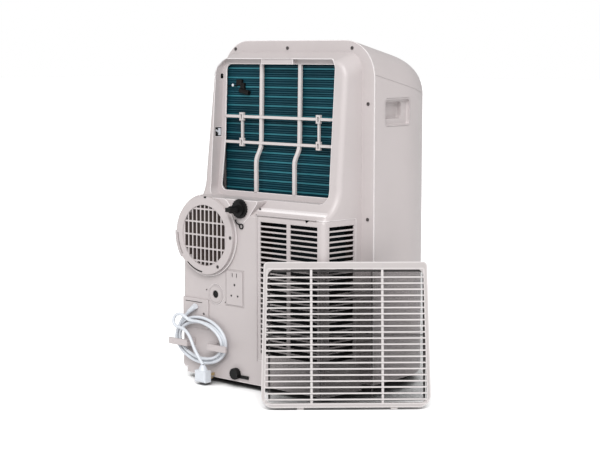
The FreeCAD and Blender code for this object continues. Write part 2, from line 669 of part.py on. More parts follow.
def rear_plates():
    face = "flange_y+box_out"
    port = fuse(cylinder(("port_x", face + "-8", "port_z"), "port_radius", 9.5, "y"),
                cylinder(("port_x", face + "-26", "port_z"), "port_bore+2.5", 20, "y"))
    hole = cylinder(("port_x", face + "-30", "port_z"), "port_bore", 60, "y")
    ring = cut(cylinder(("port_x", face + "+0.9", "port_z"), "port_radius-3", 2, "y"),
               cylinder(("port_x", face, "port_z"), "port_radius-4.2", 5, "y"))
    sub_part("hose_port", cut(port, hole, ring))
    plate = middle_box(("socket_x", face + "+0.75", "socket_z-socket_height/2"),
                       ("socket_width", 1.5, "socket_height"))
    holes = []
    for side in (-1, 1):
        holes.append(middle_box(("socket_x+(%d)*6.35" % side, face, "socket_z+24"), (2.2, 20, 8.5)))
        holes.append(cylinder(("socket_x+(%d)*9.5" % side, face + "-9", "socket_z-17"), 2.4, 20, "y"))
    holes.append(cylinder(("socket_x", face + "-9", "socket_z+7"), 2.7, 20, "y"))
    sub_part("plug_parking_plate", cut(plate, *holes))
    cover = middle_box(("cover_x", face + "+1.25", "cover_z-cover_height/2"),
                       ("cover_width", 2.5, "cover_height"))
    slot = middle_box(("cover_x+6", face + "+2.5", "cover_z+cover_height/2-9"), ("cover_width-26", 2, 1.6))
    pocket = cylinder(("cover_x-24", face + "+1", "cover_z"), 3.2, 5, "y")
    sub_part("cord_cover", cut(cover, slot, pocket))
    hooks = []
    for root, tip in (("hook_left_x", 50), ("hook_right_x", -50)):
        stem = middle_box((root, face + "+14", "hook_z-7"), (13, 28, 14))
        low = "0" if tip > 0 else str(tip)
        tongue = box((root + "+(%s)" % low, face + "+24", "hook_z-7"), (abs(tip), 4, 14))
        hooks.append(fuse(stem, tongue))
    sub_part("cord_hooks", loose(*hooks))


def case_screws():
    screws = []
    seats = [(x, "flange_y", z) for x, z in CASE_SCREWS]
    seats += [(x, "flange_y+box_out+ring_out-%g" % SCREW_HEAD_HIGH, z) for x, z in RING_SCREWS]
    for x, face, z in seats:
        head = cylinder((x, face, z), SCREW_HEAD, SCREW_HEAD_HIGH, "y")
        drive = cylinder((x, face + "+0.5", z), 1.5, 2, "y")
        shank = cylinder((x, face + "-%g" % SCREW_LONG, z), 1.7, SCREW_LONG + 0.2, "y")
        screws.append(cut(fuse(head, shank), drive))
    sub_part("case_screws", loose(*screws))


def side_grips():
    cups = []
    for side, skin in ((1, size.cabinet_left), (-1, size.cabinet_right)):
        near = skin - GRIP["set_in"]
        floor = near - GRIP_POCKET["deep"]
        low = floor - size.wall
        block = rounded_prism(GRIP["width"] - 2 * size.gap, GRIP["height"] - 2 * size.gap,
                              GRIP["round"] - size.gap, near - low, V(low, GRIP["y"], GRIP["z"]), "x")
        dish = rounded_prism(GRIP["width"] - 2 * GRIP["rim"], GRIP["height"] - 2 * GRIP["rim"],
                             GRIP["round"] - GRIP["rim"], skin - floor,
                             V(near - GRIP_DISH, GRIP["y"], GRIP["z"]), "x")
        pocket = rounded_prism(GRIP_POCKET["width"], GRIP_POCKET["height"], GRIP_POCKET["round"],
                               skin - floor, V(floor, GRIP_POCKET["y"], GRIP_POCKET["z"]), "x")
        dish = soft_floor(dish, near - GRIP_DISH)
        pocket = soft_floor(pocket, floor)
        cup = block.cut([dish, pocket])
        if side < 0:
            cup = cup.mirror(ORIGIN, X_AXIS)
        cups.append(shaped(cup))
    sub_part("side_grips", loose(*cups))


def soft_floor(prism, x):
    """Rounds the edges around the end face of a prism that lies in the plane of this X."""
    around = [e for e in prism.Edges if e.BoundBox.XMax < x + 0.01]
    return prism.makeFillet(FLOOR_ROUND, around)


# ---------------------------------------------------------------- cord

def rounded_route(points, share=0.45):
    """Straight runs joined by tangent arcs, each arc as large as its two runs allow."""
    edges = []
    radii = []
    start = points[0]
    for before, corner, after in zip(points, points[1:], points[2:]):
        back = (before - corner)
        on = (after - corner)
        shorter = min(back.Length, on.Length)
        setback = share * shorter
        turn = math.pi - back.getAngle(on)
        radii.append(setback / math.tan(turn / 2))
        back.normalize()
        on.normalize()
        first = corner + back * setback
        last = corner + on * setback
        inward = (back + on).normalize()
        radius = radii[-1]
        centre = corner + inward * math.hypot(radius, setback)
        edges.append(Part.LineSegment(start, first).toShape())
        edges.append(Part.Arc(first, centre - inward * radius, last).toShape())
        start = last
    edges.append(Part.LineSegment(start, points[-1]).toShape())
    return Part.Wire(edges), radii


def round_tube(points, radius, report=None):
    wire, radii = rounded_route(points)
    along = points[1] - points[0]
    profile = Part.Wire(Part.makeCircle(radius, points[0], along))
    tube = wire.makePipeShell([profile], True, True)
    expected = math.pi * radius ** 2 * wire.Length
    if abs(tube.Volume - expected) > 0.02 * expected:
        raise RuntimeError("tube volume %.0f, section times length %.0f" % (tube.Volume, expected))
    if report:
        print("%s: length %.0f mm, radii %s" % (report, wire.Length, ", ".join("%.0f" % r for r in radii)))
    return tube


GLAND_FOOT = V(184, 206.5, 166)
GLAND_TIP = V(206, 206.5, 150)
LEAD_ROUTE = [V(206, 206.5, 150), V(221, 207, 136), V(233, 208, 114), V(237, 209, 92)]
TAIL_ROUTE = [V(222, 213, 128), V(200, 222, 112), V(178, 228, 90), V(154, 230, 68), V(140, 229, 44)]
COIL_MIDDLE = V(165, 210, 98.5)
COIL_HALF_WIDTH = 80
COIL_HALF_HEIGHT = 58.5
COIL_BAND = 19
COIL_DEPTH = 20


def cord():
    along = GLAND_TIP - GLAND_FOOT
    relief = Part.makeCone(6.5, size.cord_radius + 1, along.Length, GLAND_FOOT, along)
    sub_part("strain_relief", shaped(relief))
    sub_part("cord_lead", shaped(round_tube(LEAD_ROUTE, size.cord_radius, "cord_lead")))
    outer = Part.Ellipse(COIL_MIDDLE, COIL_HALF_WIDTH, COIL_HALF_HEIGHT)
    inner = Part.Ellipse(COIL_MIDDLE, COIL_HALF_WIDTH - COIL_BAND, COIL_HALF_HEIGHT - COIL_BAND)
    rings = []
    for ellipse in (outer, inner):
        edge = ellipse.toShape()
        edge.rotate(COIL_MIDDLE, X_AXIS, -90)
        edge.translate(V(0, -COIL_DEPTH / 2, 0))
        rings.append(Part.Face(Part.Wire(edge)).extrude(V(0, COIL_DEPTH, 0)))
    sub_part("cord_coil", shaped(rings[0].cut(rings[1])))
    sub_part("cord_tail", shaped(round_tube(TAIL_ROUTE, size.cord_radius, "cord_tail")))
    x, y, top = TAIL_ROUTE[-1]
    body = middle_box((x, y, 6), (32, 24, 26))
    shoulder = cone((x, y, 31), 11, "cord_radius+1.5", top - 31)
    doc.recompute()
    rounded = round_edges(body, 5, lambda e: runs_along(e, Z_AXIS) or runs_along(e, X_AXIS))
    sub_part("plug", fuse(rounded, shoulder))
    pins = []
    for side in (-1, 1):
        pins.append(middle_box((x + side * 6.35, y - 12 - 8.5, 17), (1.5, 17, 6.3)))
    pins.append(cylinder((x, y - 12 - 17, 10.5), 2.4, 17, "y"))
    sub_part("plug_pins", loose(*pins))


# ---------------------------------------------------------------- filter grille

def trapezoid(margin_side, margin_top, margin_foot, low, depth):
    """Upright plate of the grille's outline, inset by its margins; thickness runs along +Y."""
    half_low = "grille_width_low/2-%s" % margin_side
    half_top = "grille_width_top/2-%s" % margin_side
    foot = "grille_foot+%s" % margin_foot
    top = "grille_foot+grille_height-%s" % margin_top
    corners = [("-(%s)" % half_low, foot), (half_low, foot), (half_top, top), ("-(%s)" % half_top, top)]
    body = padded_body("XZ_Plane", corners, depth, "-(%s)" % low)
    body.Tip.Reversed = True
    return body


def lean(thing):
    """Stands a piece of the grille in its place: turned towards the corner and leaned back."""
    turn = FreeCAD.Rotation(Z_AXIS, size.grille_yaw)
    tilt = FreeCAD.Rotation(X_AXIS, size.grille_lean)
    thing.Placement = FreeCAD.Placement(ORIGIN, turn.multiply(tilt))
    return bind(thing, base_x="grille_x", base_y="grille_y", base_z=-0.4)


def filter_grille():
    doc.recompute()
    outer = trapezoid(0, 0, 0, 0, "grille_depth")
    inner = trapezoid(8, 15, 9, -1, "grille_depth+2")
    opening = trapezoid(8, 15, 9, "grille_depth-5", 5)
    frame = cut(rounded_grille(outer), inner)
    bars = []
    for n in range(int(size.grille_rows)):
        bars.append(box(("-grille_width_low/2", "grille_depth-5", "grille_foot+15+%d*grille_pitch" % n),
                        ("grille_width_low", 5, "grille_bar")))
    for x in (70, -75):
        bars.append(middle_box((x, "grille_depth-3.5", "grille_foot+5"), (5, 3, "grille_height-14")))
    lattice = common(fuse(*bars), opening)
    feet = []
    for x in (93, -98):
        feet.append(middle_box((x, "grille_depth/2", 0), (14, 6, "grille_foot+1")))
    slot = box(("-grille_width_low/2-1", 1.5, "grille_foot+12.5"), (30, 3, "grille_height-28.5"))
    whole = cut(fuse(frame, lattice, *feet), slot)
    lean(sub_part("filter_grille", whole))
    net_length = "grille_width_top/2-8.4+grille_width_top/2-4"
    corner = ("-grille_width_top/2+4", 2, "grille_foot+13")
    net_height = "grille_height-29.5"
    rim = cut(box(corner, (net_length, 2, net_height)),
              box((corner[0] + "+5", 0, corner[2] + "+5"), (net_length + "-10", 9, net_height + "-10")))
    mesh = box((corner[0] + "+4", 2.6, corner[2] + "+4"), (net_length + "-8", 0.8, net_height + "-8"))
    lean(sub_part("filter_net", fuse(rim, mesh)))


def rounded_grille(outer):
    doc.recompute()
    thing = doc.addObject("Part::Fillet", "rounded")
    thing.Base = outer
    picked = []
    for n, edge in enumerate(outer.Shape.Edges, start=1):
        if runs_along(edge, Y_AXIS):
            radius = 25 if edge.BoundBox.Center.z < 100 else 9
            picked.append((n, radius, radius))
    thing.Edges = picked
    return thing


# ---------------------------------------------------------------- controls and outlet

def on_slope(thing):
    """Stands a piece made flat (X across, -Y down the slope, Z outward) on the sloping top."""
    return place(thing, ("middle_x", "flange_y", "cabinet_height"), X_AXIS, size.top_slope)


BUTTONS = ["button_power", "button_timer", "button_mode", "button_fan", "button_down", "button_up"]


def button_place(n):
    side = -1 if n < 3 else 1
    steps = 2 - n if n < 3 else n - 3
    return "(%d)*(button_first+%d*button_pitch)" % (side, steps)


def controls():
    middle = "-(panel_near+panel_far)/2"
    plate = middle_box((0, middle, -2.6), ("panel_width-2*gap", "panel_far-panel_near-2*gap", 3.1))
    holes = [cylinder((button_place(n), middle, -10), "button_radius+gap", 20) for n in range(6)]
    holes.append(middle_box((0, middle, -10), (56.6, 26.6, 20)))
    on_slope(sub_part("control_panel", cut(plate, *holes)))
    on_slope(sub_part("display_window", loose(middle_box((0, middle, -2.2), (56, 26, 2.4)))))
    for n, label in enumerate(BUTTONS):
        cap = cylinder((button_place(n), middle, -5), "button_radius", 7.4)
        foot = cylinder((button_place(n), middle, -5), "button_radius+1.8", 1.6)
        on_slope(sub_part(label, fuse(cap, foot)))


VANE_PLACES = (-66, 0, 66)


def air_outlet():
    wide = "outlet_width-2*gap"
    plate = box(("-(%s)/2" % wide, "-outlet_far+0.5", "-wall"),
                (wide, "outlet_far-outlet_near-%g-0.5" % HINGE_DOWN, "wall"))
    barrel = cylinder(("-(%s)/2" % wide, "-outlet_near-%g" % HINGE_DOWN, -1.6), 1.6, wide, "x")
    pin = cylinder(("-(%s)/2-2.2" % wide, "-outlet_near-%g" % HINGE_DOWN, -1.6), 0.7, wide + "+4.4", "x")
    rib = middle_box((0, "-outlet_far+7", -5), ("outlet_width-20", 2, 3))
    on_slope(sub_part("louver_flap", fuse(plate, barrel, pin, rib)))
    depth = 44
    length = "outlet_far-outlet_near"
    middle = "-(outlet_near+outlet_far)/2"
    outside = middle_box((0, middle, -3.2 - depth), ("outlet_width+6", length + "+6", depth))
    inside = middle_box((0, middle, -80), ("outlet_width-1", length + "-1", 120))
    crossbar = middle_box((0, middle, -3.2 - depth), ("outlet_width+2", 8, 4))
    bores = [cylinder((x, middle, -80), "1.5+running_gap", 60) for x in VANE_PLACES]
    on_slope(sub_part("outlet_duct", cut(fuse(cut(outside, inside), crossbar), *bores)))
    for n, x in enumerate(VANE_PLACES, start=1):
        blade = middle_box((x, middle, -42), (1.6, 44, 32))
        shaft = cylinder((x, middle, -47), 1.5, 37)
        on_slope(sub_part("air_vane_%d" % n, fuse(blade, shaft)))


# ---------------------------------------------------------------- inside

def fan_wheel(label, x, y, z, radius, width, blades=30):
    """Centrifugal wheel: back disc, hub with a bore, blades and a front ring; axis along Y."""
    pieces = [cylinder((x, y, z), radius, 2.5, "y"), cylinder((x, y, z), 14, "%s/2" % width, "y")]
    rim = cut(cylinder((x, "%s+%s-3" % (y, width), z), radius, 3, "y"),
              cylinder((x, "%s" % y, z), "%s-12" % radius, "%s+1" % width, "y"))
    pieces.append(rim)
    for n in range(blades):
        angle = 360.0 * n / blades
        blade = Part.makeBox(11, float(width), 1.4)
        blade.translate(V(value(radius) - 11.5, 0, 0))
        blade.rotate(V(value(radius) - 6, 0, 0), Y_AXIS, 28)
        blade.rotate(ORIGIN, Y_AXIS, angle)
        blade.translate(V(value(x), value(y), value(z)))
        pieces.append(shaped(blade))
    bore = cylinder((x, "%s-1" % y, z), "4+running_gap", "%s" % width, "y")
    sub_part(label, cut(fuse(*pieces), bore))


def value(word):
    return getattr(size, word) if word in DIMENSIONS else float(word)


def motor(label, x, y_face, z, radius, length, shaft):
    """Round motor with its shaft pointing towards +Y from its face."""
    can = cylinder((x, "%s-(%s)" % (y_face, length), z), radius, length, "y")
    boss = cylinder((x, y_face, z), 11, 3, "y")
    spindle = cylinder((x, y_face, z), 4, shaft, "y")
    sub_part(label, fuse(can, boss, spindle))


def upper_air_path():
    front = "blower_y-46"
    shell = fuse(cylinder(("fan_x", front, "blower_z"), "blower_radius+14", 92, "y"),
                 box(("fan_x-100", front, "blower_z"), (218, 92, 98)))
    hollow = fuse(cylinder(("fan_x", front + "+2.5", "blower_z"), "blower_radius+11.5", 87, "y"),
                  box(("fan_x-97.5", front + "+2.5", "blower_z"), (213, 87, 120)))
    inlet = cylinder(("fan_x", "blower_y", "blower_z"), "blower_radius-14", 60, "y")
    shaft_hole = cylinder(("fan_x", front + "-5", "blower_z"), 13, 20, "y")
    sub_part("blower_scroll", cut(shell, hollow, inlet, shaft_hole))
    fan_wheel("blower_wheel", "fan_x", -98, "blower_z", "blower_radius", "74")
    motor("blower_motor", "fan_x", "-98-12", "blower_z", 38, 50, 46)
    deck = plan_face(size.wall + 1, size.deck_z - 4, size.flange_y - 6).extrude(V(0, 0, 4))
    tray = Part.makeBox(350, 56, 3, V(-160, size.flange_y - 36, size.deck_z - 4))
    sub_part("mid_deck", shaped(deck.fuse(tray)))


def lower_air_path():
    finned_coil("condenser_coil", (-163, 112, 44), (162, 44, 326), 15, 6)
    pipe_front = "flange_y+1"
    scroll_x = -60
    scroll_z = 290
    shell = fuse(cylinder((scroll_x, "exhaust_wheel_y-35", scroll_z), "exhaust_wheel_radius+12", 73, "y"),
                 box((scroll_x, "exhaust_wheel_y-35", "exhaust_z-72"), (254, 73, 140)),
                 cylinder(("exhaust_x", pipe_front, "exhaust_z"), "sleeve_radius-2", 92, "y"))
    hollow = fuse(cylinder((scroll_x, "exhaust_wheel_y-32.5", scroll_z), "exhaust_wheel_radius+9.5", 68, "y"),
                  box((scroll_x, "exhaust_wheel_y-32.5", "exhaust_z-69.5"), (251.5, 68, 135)),
                  cylinder(("exhaust_x-21", "exhaust_wheel_y+20", "exhaust_z"), 57, 30, "y"),
                  cylinder(("exhaust_x", pipe_front + "+2.5", "exhaust_z"), "sleeve_radius-4.5", 150, "y"))
    inlet = cylinder((scroll_x, "exhaust_wheel_y", scroll_z), "exhaust_wheel_radius-14", 60, "y")
    shaft_hole = cylinder((scroll_x, "exhaust_wheel_y-50", scroll_z), 13, 25, "y")
    sub_part("exhaust_duct", cut(shell, hollow, inlet, shaft_hole))
    fan_wheel("exhaust_wheel", scroll_x, 33, scroll_z, "exhaust_wheel_radius", "56", 26)
    motor("exhaust_motor", scroll_x, 22, scroll_z, 36, 52, 34)


def cooling_circuit():
    x, y = 70, -62
    can = cylinder((x, y, 46), 56, 205)
    doc.recompute()
    can = round_edges(can, 18, lambda e: e.Curve.TypeId == "Part::GeomCircle")
    plate = middle_box((x, y, 42), (128, 128, 4))
    terminal = middle_box((x, y - 50, 180), (44, 26, 36))
    bottle = cylinder((x - 84, y, 70), 19, 130)
    bracket = middle_box((x - 60, y, 120), (20, 8, 12))
    sub_part("compressor", fuse(can, plate, terminal, bottle, bracket))
    feet = [cylinder((x + dx, y + dy, 35), 9, 7) for dx, dy in ((-50, -50), (50, -50), (0, 54))]
    sub_part("compressor_feet", loose(*feet))
    suction = [V(x - 84, y, 200), V(x - 84, y, 238), V(x - 84, y - 30, 262), V(x - 84, y - 42, 300),
               V(x - 84, y - 42, 380)]
    delivery = [V(x, y, 251), V(x, y, 285), V(x + 12, y - 22, 310), V(x + 30, y - 34, 345),
                V(x + 30, y - 34, 385)]
    sub_part("refrigerant_pipes", loose(*[shaped(round_tube(path, 4.5)) for path in (suction, delivery)]))
    case = cut(box((-150, -110, 60), (110, 70, 120)), box((-148, -108, 62), (106, 66, 130)))
    lid = box((-150, -110, 180), (110, 70, 3))
    sub_part("control_box", fuse(case, lid))


def pan_outline(inner_back, inset):
    """The pan's back part in the lower box, tapering with the box's right wall."""
    corner = 8
    left = size.box_left + corner
    neck = size.cabinet_left - 10
    right = -size.hump_right + 5.5
    taper = (inner_back - corner - size.flange_y) * math.tan(math.radians(size.side_draft))
    points = [(right, 60), (right, size.flange_y), (right + taper, inner_back - corner),
              (right + taper + corner, inner_back), (left - corner, inner_back),
              (left, inner_back - corner), (left, size.flange_y + 1), (neck, size.flange_y + 1), (neck, 60)]
    corners = [V(x, y, 0) for x, y in points]
    face = Part.Face(Part.makePolygon(corners + corners[:1]))
    return face.makeOffset2D(-inset) if inset else face


def base_pan():
    low = size.cabinet_bottom + 4
    skirt = size.wall + size.gap + 0.2
    inner_back = size.flange_y + size.box_out - skirt
    rim_high = 14
    rim_thick = 2.5
    form = []
    for inset, floor in ((0, 0), (rim_thick, 3)):
        rise = V(0, 0, rim_high)
        front = plan_face(skirt + inset, low + floor, size.flange_y - 6).extrude(rise)
        back = pan_outline(inner_back, inset).extrude(rise)
        back.translate(V(0, 0, low + floor))
        form.append(front.fuse(back))
    pan = form[0].cut(form[1])
    tools = []
    bosses = []
    for x, y in caster_places():
        bosses.append(Part.makeCylinder(8, 22, V(x, y, low)))
        tools.append(Part.makeCylinder(5 + size.running_gap, 60, V(x, y, 0)))
    tools.append(Part.makeCylinder(6.4, 60, V(size.lug_x, inner_back - 40, size.lug_z), Y_AXIS))
    sub_part("base_pan", shaped(pan.fuse(bosses).cut(tools).removeSplitter()))


def caster_places():
    side = size.caster_x
    return [(side, size.caster_front), (-side, size.caster_front), (side, size.caster_back),
            (-side, size.caster_back)]


CASTER_SIGNS = [(1, "caster_front"), (-1, "caster_front"), (1, "caster_back"), (-1, "caster_back")]


def casters():
    """Twin-wheel casters: a swivelling fork with a web, and a wheel pair pressed on its axle."""
    for n, (side, row) in enumerate(CASTER_SIGNS, start=1):
        x = "(%d)*caster_x" % side
        hub_y = row + "-caster_trail"
        stem = cylinder((x, row, "2*wheel_radius+1"), 5, 24)
        crown = cylinder((x, row, "2*wheel_radius+0.8"), 13, 2.8)
        web = middle_box((x, row + "-5", 8), (7, 22, "2*wheel_radius-7"))
        bore = cylinder((x + "-20", hub_y, "wheel_radius"), "axle_radius+running_gap", 40, "x")
        wheel_room = fuse(*[cylinder((x + "+(%g)" % start, hub_y, "wheel_radius"),
                                     "wheel_radius+0.6", "wheel_width+1.2", "x")
                            for start in (3.9, -14.1)])
        sub_part("caster_fork_%d" % n, cut(fuse(stem, crown, web), bore, wheel_room))
        wheels = []
        for start in ("4.5", "-4.5-wheel_width"):
            wheels.append(cylinder((x + "+(%s)" % start, hub_y, "wheel_radius"),
                                   "wheel_radius", "wheel_width", "x"))
        axle = cylinder((x + "-4.5-wheel_width/2", hub_y, "wheel_radius"),
                        "axle_radius", "9+wheel_width", "x")
        sub_part("caster_wheel_%d" % n, fuse(axle, *wheels))


MAKERS = [casing_shells, rear_shell, lower_intake_grille, coil_guard, evaporator, exhaust_outlet, drains,
          rear_plates, case_screws, side_grips, cord, filter_grille, controls, air_outlet,
          upper_air_path, lower_air_path, cooling_circuit, base_pan, casters]


# ---------------------------------------------------------------- check and write

def build():
    for maker in MAKERS:
        maker()
    doc.recompute()
    for thing in doc.Objects:
        if "Invalid" in thing.State or "Error" in thing.State:
            raise RuntimeError("%s (%s) failed: %s" % (thing.Name, thing.Label, thing.State))
    os.makedirs("parts", exist_ok=True)
    for thing in sub_parts:
        shape = thing.Shape
        if shape.isNull() or not shape.isValid() or not shape.Solids:
            raise RuntimeError("%s has no valid solid" % thing.Label)
        shape.exportStep("parts/%s.step" % thing.Label)
    print("%d sub-parts written" % len(sub_parts))


build()
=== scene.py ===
import json
import math
import random

import bmesh
import bpy
from mathutils import Matrix, Vector


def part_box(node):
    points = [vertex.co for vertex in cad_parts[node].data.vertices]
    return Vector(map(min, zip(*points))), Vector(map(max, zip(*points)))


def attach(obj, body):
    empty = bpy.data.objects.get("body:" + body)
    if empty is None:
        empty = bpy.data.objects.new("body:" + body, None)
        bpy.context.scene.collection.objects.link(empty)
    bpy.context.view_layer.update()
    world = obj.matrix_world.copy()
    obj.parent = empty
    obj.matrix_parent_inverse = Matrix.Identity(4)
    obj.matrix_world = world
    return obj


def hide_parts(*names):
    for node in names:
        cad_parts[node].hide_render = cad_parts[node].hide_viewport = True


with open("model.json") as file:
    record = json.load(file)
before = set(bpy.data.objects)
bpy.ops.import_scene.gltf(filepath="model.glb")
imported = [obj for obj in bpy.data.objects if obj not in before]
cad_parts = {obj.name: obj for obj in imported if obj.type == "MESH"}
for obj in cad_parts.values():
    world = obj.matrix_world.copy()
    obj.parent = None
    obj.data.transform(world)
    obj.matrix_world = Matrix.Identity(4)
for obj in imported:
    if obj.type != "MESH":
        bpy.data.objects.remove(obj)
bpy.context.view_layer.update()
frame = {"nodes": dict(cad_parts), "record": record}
nodes = frame["nodes"]
collection = bpy.context.scene.collection

# Looks of a portable air conditioner seen from behind, with its upper filter grille taken off and
# leaned against the back.  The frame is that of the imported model: +X towards the side with the
# exhaust outlet, +Y out of the back, +Z up.  Places and sizes of pieces are in millimetres and are
# scaled by MM once, where a mesh or a curve is made; the camera and the lights are in metres.

MM = 0.001
HOUSING = "housing"


def in_mm(node):
    """The lowest and highest corner of a CAD node, in millimetres."""
    return [Vector(corner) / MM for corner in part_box(node)]


# ---------------------------------------------------------------- camera

VIEW_TURN = math.radians(41)
VIEW_DROP = math.radians(6.69)
VIEW_DISTANCE = 3.15
AIM = Vector((-0.022, 0.092, 0.722))
FOCAL_PIXELS = 1470
FRAME_PIXELS = 600
SENSOR_WIDTH = 36
FAR_CLIP = 50


def look_direction():
    level = math.cos(VIEW_DROP)
    return Vector((math.sin(VIEW_TURN) * level, -math.cos(VIEW_TURN) * level, -math.sin(VIEW_DROP)))


def make_camera():
    camera = bpy.data.objects.new("camera", bpy.data.cameras.new("camera"))
    collection.objects.link(camera)
    bpy.context.scene.camera = camera
    camera.data.sensor_width = SENSOR_WIDTH
    camera.data.lens = FOCAL_PIXELS / FRAME_PIXELS * SENSOR_WIDTH
    across = Vector((math.sin(VIEW_TURN), -math.cos(VIEW_TURN), 0))
    camera.location = AIM - across * VIEW_DISTANCE
    camera.rotation_euler = look_direction().to_track_quat("-Z", "Y").to_euler()
    camera.data.clip_end = FAR_CLIP


# ---------------------------------------------------------------- materials

# Sockets of the colour mix node: its share, its two colours and its result.
SHARE, FIRST, SECOND, MIXED = 0, 6, 7, 2
TONE_SCALE = 6.0
GLOSS_SCALE = 55.0
GLOSS_LOSS = 0.05
GLOSS_GAIN = 0.09
BUMP_HEIGHT = 0.0006


def wire(tree, output, target):
    tree.links.new(output, target)


def noise(tree, scale, detail=3.0, stretch=None):
    """Solid noise in the object's own coordinates; stretch squeezes it along chosen axes."""
    place = tree.nodes.new("ShaderNodeTexCoord")
    source = place.outputs["Object"]
    if stretch:
        mapping = tree.nodes.new("ShaderNodeMapping")
        mapping.inputs["Scale"].default_value = stretch
        wire(tree, source, mapping.inputs["Vector"])
        source = mapping.outputs["Vector"]
    texture = tree.nodes.new("ShaderNodeTexNoise")
    texture.inputs["Scale"].default_value = scale
    texture.inputs["Detail"].default_value = detail
    wire(tree, source, texture.inputs["Vector"])
    return texture.outputs["Fac"]


def spread(tree, source, low, high, start=0.0, end=1.0):
    """Maps start..end of a value to low..high."""
    node = tree.nodes.new("ShaderNodeMapRange")
    node.inputs["From Min"].default_value = start
    node.inputs["From Max"].default_value = end
    node.inputs["To Min"].default_value = low
    node.inputs["To Max"].default_value = high
    wire(tree, source, node.inputs["Value"])
    return node.outputs["Result"]


def colour_mix(tree, share):
    mix = tree.nodes.new("ShaderNodeMix")
    mix.data_type = "RGBA"
    wire(tree, share, mix.inputs[SHARE])
    return mix


def tint(tree, share, light, depth_shade):
    mix = colour_mix(tree, share)
    mix.inputs[FIRST].default_value = (*light, 1)
    mix.inputs[SECOND].default_value = (*depth_shade, 1)
    return mix.outputs[MIXED]


def shade(colour, factor):
    return tuple(min(1.0, part * factor) for part in colour)


def finish(name, colour, rough, metal=0.0, grain=900.0, depth=0.06, soft=0.8, dirt=0.10, streak=None,
           coat=0.0, shine=0.5):
    """A moulded or painted surface: broad uneven tone, fine grain, uneven gloss, softened edges.
    soft is the edge radius in millimetres; streak squeezes the grain along some axes."""
    material = bpy.data.materials.new(name)
    material.use_nodes = True
    tree = material.node_tree
    shader = tree.nodes["Principled BSDF"]
    shader.inputs["Metallic"].default_value = metal
    shader.inputs["Coat Weight"].default_value = coat
    shader.inputs["Specular IOR Level"].default_value = shine
    broad = spread(tree, noise(tree, TONE_SCALE, 5.0), 0.0, 1.0, 0.42, 0.75)
    wire(tree, tint(tree, broad, colour, shade(colour, 1 - dirt)), shader.inputs["Base Color"])
    gloss = spread(tree, noise(tree, GLOSS_SCALE, 4.0), rough - GLOSS_LOSS, rough + GLOSS_GAIN)
    wire(tree, gloss, shader.inputs["Roughness"])
    bump = tree.nodes.new("ShaderNodeBump")
    bump.inputs["Strength"].default_value = depth
    bump.inputs["Distance"].default_value = BUMP_HEIGHT
    wire(tree, noise(tree, grain, 2.0, streak), bump.inputs["Height"])
    if soft:
        edge = tree.nodes.new("ShaderNodeBevel")
        edge.samples = 4
        edge.inputs["Radius"].default_value = soft * MM
        wire(tree, edge.outputs["Normal"], bump.inputs["Normal"])
    wire(tree, bump.outputs["Normal"], shader.inputs["Normal"])
    return material


def glass(name, colour):
    material = finish(name, colour, 0.08, soft=0.4, dirt=0.02, depth=0.01)
    material.node_tree.nodes["Principled BSDF"].inputs["Coat Weight"].default_value = 0.6
    return material


SHELL = (0.475, 0.432, 0.430)
LOOKS = {
    "shell_plastic": dict(colour=SHELL, rough=0.36, grain=1500.0, depth=0.10, soft=1.8, dirt=0.05),
    # Painted a little darker than the shell plastic, as painted shade on the grilles' frames.
    "grille_plastic": dict(colour=(0.405, 0.375, 0.37), rough=0.38, soft=1.2, dirt=0.05),
    "filter_mesh": dict(colour=(0.05, 0.045, 0.045), rough=0.7, soft=0.0, dirt=0.25),
    "base_plastic": dict(colour=(0.050, 0.038, 0.035), rough=0.6, soft=0.8, dirt=0.25, shine=0.2),
    "control_plastic": dict(colour=(0.44, 0.41, 0.405), rough=0.30, soft=0.8, dirt=0.04),
    "button_plastic": dict(colour=(0.30, 0.285, 0.285), rough=0.45, soft=1.0, dirt=0.06),
    # The coil fins behind the louver slots are painted near black, as painted shade in the slots.
    "coil_fins": dict(colour=(0.003, 0.007, 0.009), rough=0.6, soft=0.0, dirt=0.3,
                      grain=300.0, streak=(1, 1, 0.1), shine=0.1),
    "black_rubber": dict(colour=(0.005, 0.005, 0.005), rough=0.42, soft=0.7, dirt=0.2, shine=0.22),
    "sensor_plastic": dict(colour=(0.004, 0.004, 0.004), rough=0.40, soft=0.7, dirt=0.2, shine=0.2),
    "cord_jacket": dict(colour=(0.60, 0.625, 0.665), rough=0.32, soft=0.0, dirt=0.05, depth=0.03),
    "pin_brass": dict(colour=(0.56, 0.43, 0.22), rough=0.28, metal=0.9, soft=0.4, dirt=0.2),
    "screw_steel": dict(colour=(0.10, 0.09, 0.09), rough=0.38, metal=0.7, soft=0.4, dirt=0.3),
    "copper_tube": dict(colour=(0.60, 0.25, 0.12), rough=0.30, metal=0.9, soft=0.0, dirt=0.3),
    "painted_can": dict(colour=(0.012, 0.012, 0.013), rough=0.35, soft=1.2, dirt=0.3, coat=0.2),
    "caster_plastic": dict(colour=(0.016, 0.016, 0.016), rough=0.42, soft=1.0, dirt=0.3),
}


def rib_side_shade_finish(name, look, shade_colour):
    """The finish of a rib whose sides, across the air's way, are painted darker as painted shade; its back
    keeps the plain colour.
    """
    material = finish(name, **look)
    tree = material.node_tree
    shader = tree.nodes["Principled BSDF"]
    unshaded = shader.inputs["Base Color"].links[0].from_socket
    place = tree.nodes.new("ShaderNodeTexCoord")
    parts = tree.nodes.new("ShaderNodeSeparateXYZ")
    wire(tree, place.outputs["Normal"], parts.inputs["Vector"])
    size = tree.nodes.new("ShaderNodeMath")
    size.operation = "ABSOLUTE"
    wire(tree, parts.outputs["Y"], size.inputs[0])
    mix = colour_mix(tree, spread(tree, size.outputs["Value"], 0.0, 1.0, 0.35, 0.9))
    mix.inputs[FIRST].default_value = (*shade_colour, 1)
    wire(tree, unshaded, mix.inputs[SECOND])
    wire(tree, mix.outputs[MIXED], shader.inputs["Base Color"])
    return material


